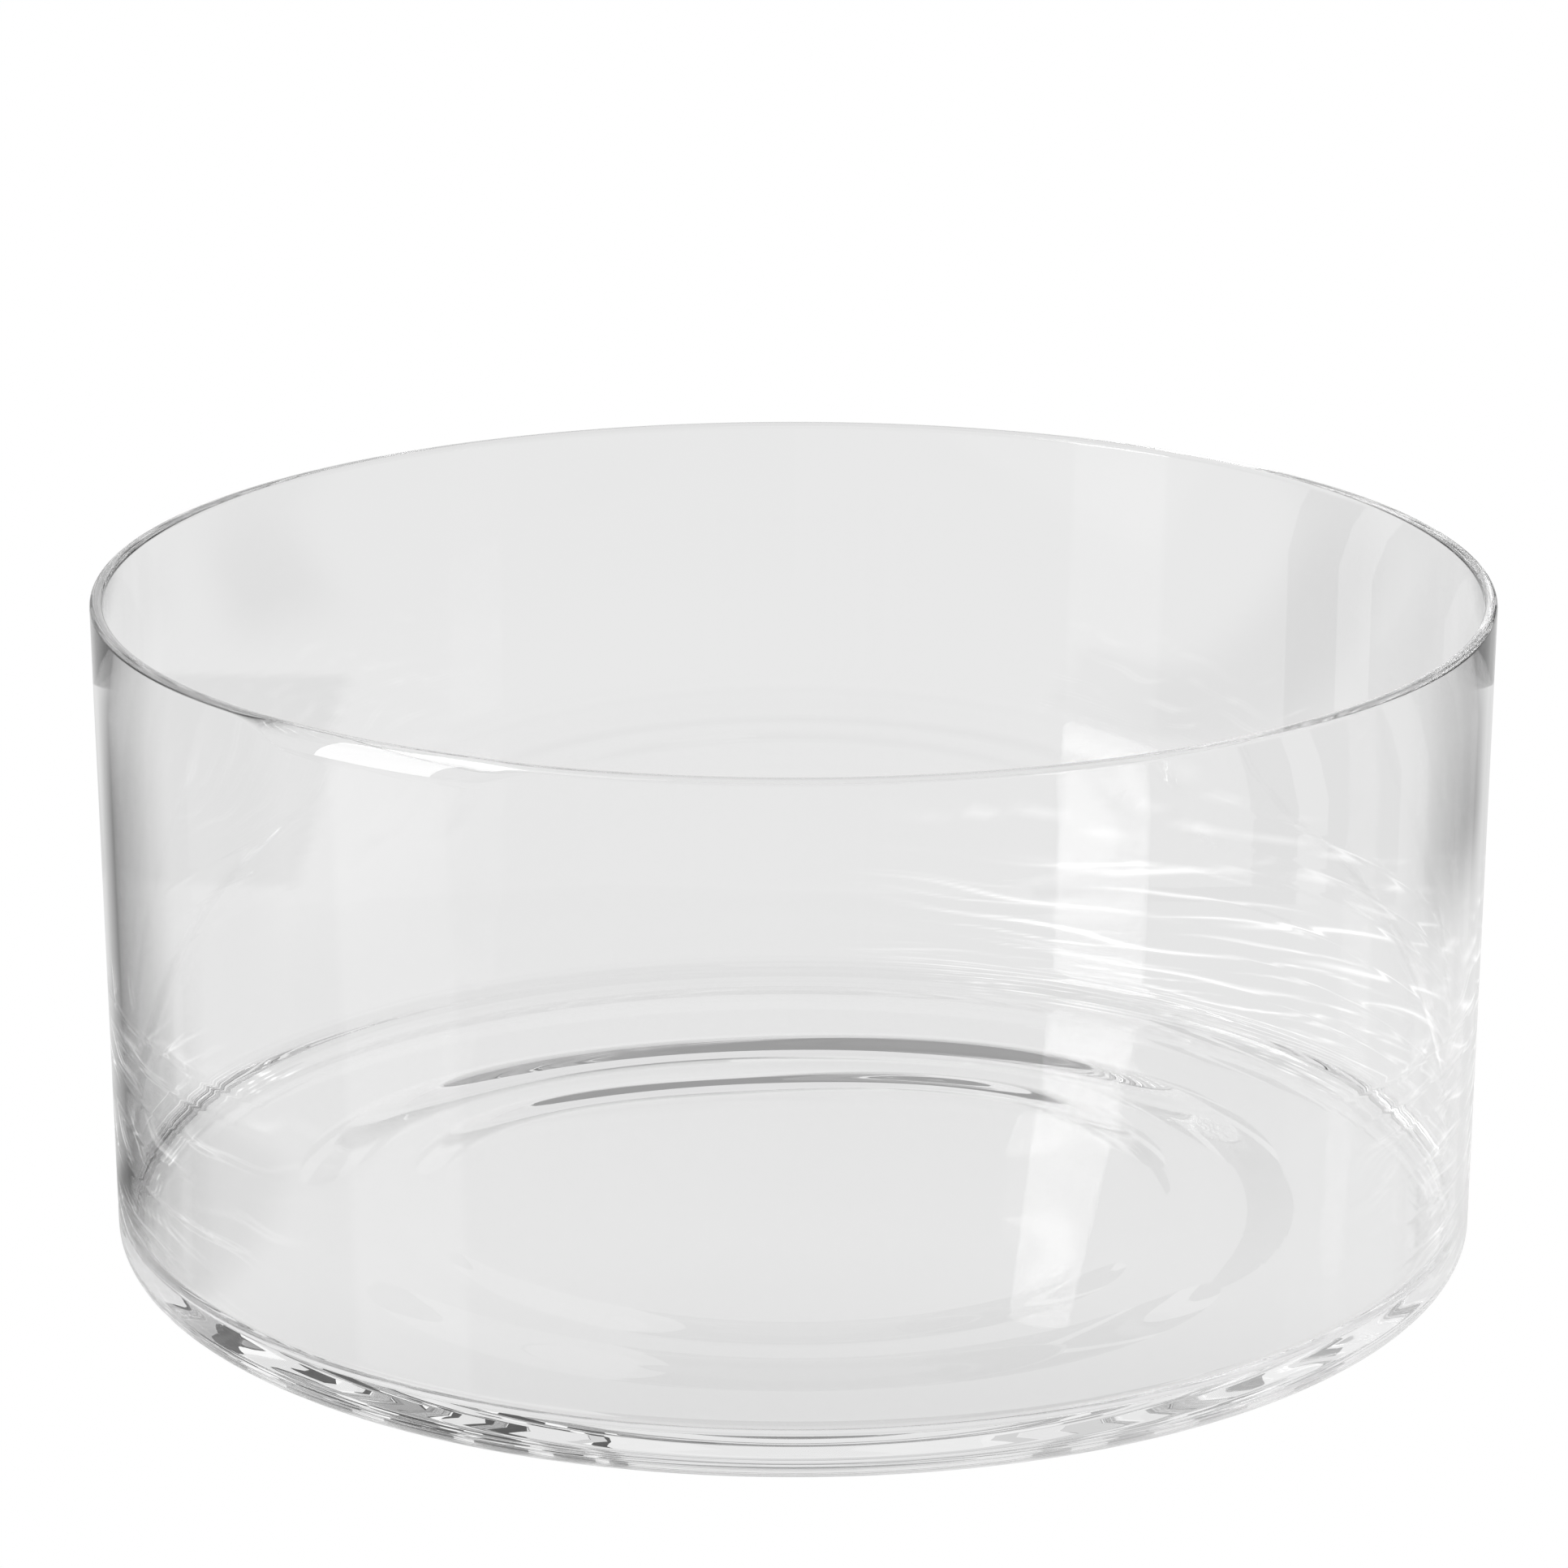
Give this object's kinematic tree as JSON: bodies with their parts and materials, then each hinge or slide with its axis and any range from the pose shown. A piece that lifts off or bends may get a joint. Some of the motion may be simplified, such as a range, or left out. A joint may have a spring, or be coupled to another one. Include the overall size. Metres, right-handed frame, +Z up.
{
  "type": "salad bowl",
  "caption": "Clear glass salad bowl with a thin upright wall, a rounded lip and a thick flat base, to hold and serve food.",
  "frame": {"origin": "centre of the foot ring, on the plane that the bowl stands on", "axes": "+Z up along the bowl's axis; +X and +Y are any two directions across the bowl"},
  "size_m": [0.23, 0.23, 0.112],
  "materials": {
    "clear_glass": "clear, polished, colourless"
  },
  "bodies": {
    "root": {"glass_bowl": "clear_glass"}
  },
  "joints": []
}
